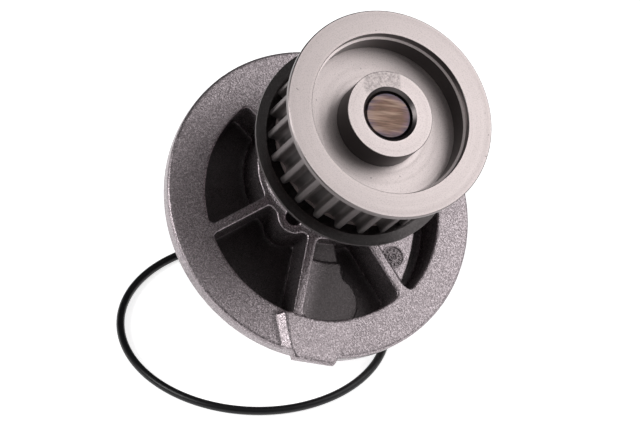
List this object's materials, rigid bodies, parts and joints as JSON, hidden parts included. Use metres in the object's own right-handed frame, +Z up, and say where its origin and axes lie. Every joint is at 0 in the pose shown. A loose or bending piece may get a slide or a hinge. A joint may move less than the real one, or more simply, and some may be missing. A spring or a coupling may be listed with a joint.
{
  "type": "engine coolant pump",
  "caption": "Belt-driven engine coolant pump: round eccentric flange casting, toothed pulley, sealed shaft bearing, face seal, vaned impeller and a loose housing O-ring.",
  "frame": {"origin": "middle of the footprint box, on the table the pump and its loose O-ring lie on", "axes": "+Z up from the table; the pump leans, so its shaft axis lies in the XZ plane, 38.2 degrees from +Z towards +X; +Y is level and square to the shaft"},
  "size_m": [0.1062, 0.1208, 0.1142],
  "materials": {
    "cast_aluminium": "shot-blasted die casting, fine bright grain",
    "pulley_steel": "sintered and machined steel, satin, faint turning marks",
    "flange_sheet": "pressed steel sheet, darkened, semi-bright",
    "shaft_steel": "ground bearing steel, heat-tinted end face",
    "bearing_steel": "ground bearing steel, polished",
    "cage_polymer": "glass-filled nylon",
    "seal_rubber": "moulded nitrile rubber",
    "spring_steel": "stainless steel",
    "seal_brass": "drawn brass",
    "carbon": "lapped carbon graphite",
    "ceramic": "lapped alumina ceramic",
    "impeller_polymer": "glass-filled moulded polymer",
    "o_ring_rubber": "moulded black rubber, soft sheen"
  },
  "bodies": {
    "housing": {"pump_housing": "cast_aluminium", "bearing_outer_ring": "bearing_steel", "front_bearing_seal": "seal_rubber", "rear_bearing_seal": "seal_rubber", "seal_cup": "seal_brass", "seal_bellows": "seal_rubber", "seal_spring": "spring_steel", "seal_spring_collar": "spring_steel", "carbon_face_ring": "carbon"},
    "rotor": {"drive_pulley": "pulley_steel", "pulley_rear_flange": "flange_sheet", "bearing_shaft": "shaft_steel", "shaft_slinger": "spring_steel", "mating_ring": "ceramic", "mating_ring_boot": "seal_rubber", "seal_shaft_sleeve": "seal_brass", "impeller": "impeller_polymer", "impeller_hub_insert": "shaft_steel"},
    "front_ball_row": {"front_bearing_balls": "bearing_steel", "front_ball_cage": "cage_polymer"},
    "rear_ball_row": {"rear_bearing_balls": "bearing_steel", "rear_ball_cage": "cage_polymer"},
    "loose_o_ring": {"housing_o_ring": "o_ring_rubber"}
  },
  "joints": [
    {"name": "rotor_spin", "type": "hinge", "parent": "housing", "child": "rotor", "pos_m": [-0.01267, 0.0144, 0.04342], "axis": [0.6184, 0, 0.7859], "continuous": true},
    {"name": "front_balls_orbit", "type": "hinge", "parent": "housing", "child": "front_ball_row", "pos_m": [0.01039, 0.0144, 0.07274], "axis": [0.6184, 0, 0.7859], "continuous": true},
    {"name": "rear_balls_orbit", "type": "hinge", "parent": "housing", "child": "rear_ball_row", "pos_m": [-0.00371, 0.0144, 0.05482], "axis": [0.6184, 0, 0.7859], "continuous": true},
    {"name": "o_ring_slide", "type": "slide", "parent": "housing", "child": "loose_o_ring", "axis": [0, -1, 0], "range_m": [0, 0.09]}
  ],
  "couplings": [
    {"joint": "front_balls_orbit", "follows": "rotor_spin", "ratio": 0.3632},
    {"joint": "rear_balls_orbit", "follows": "rotor_spin", "ratio": 0.3632}
  ]
}
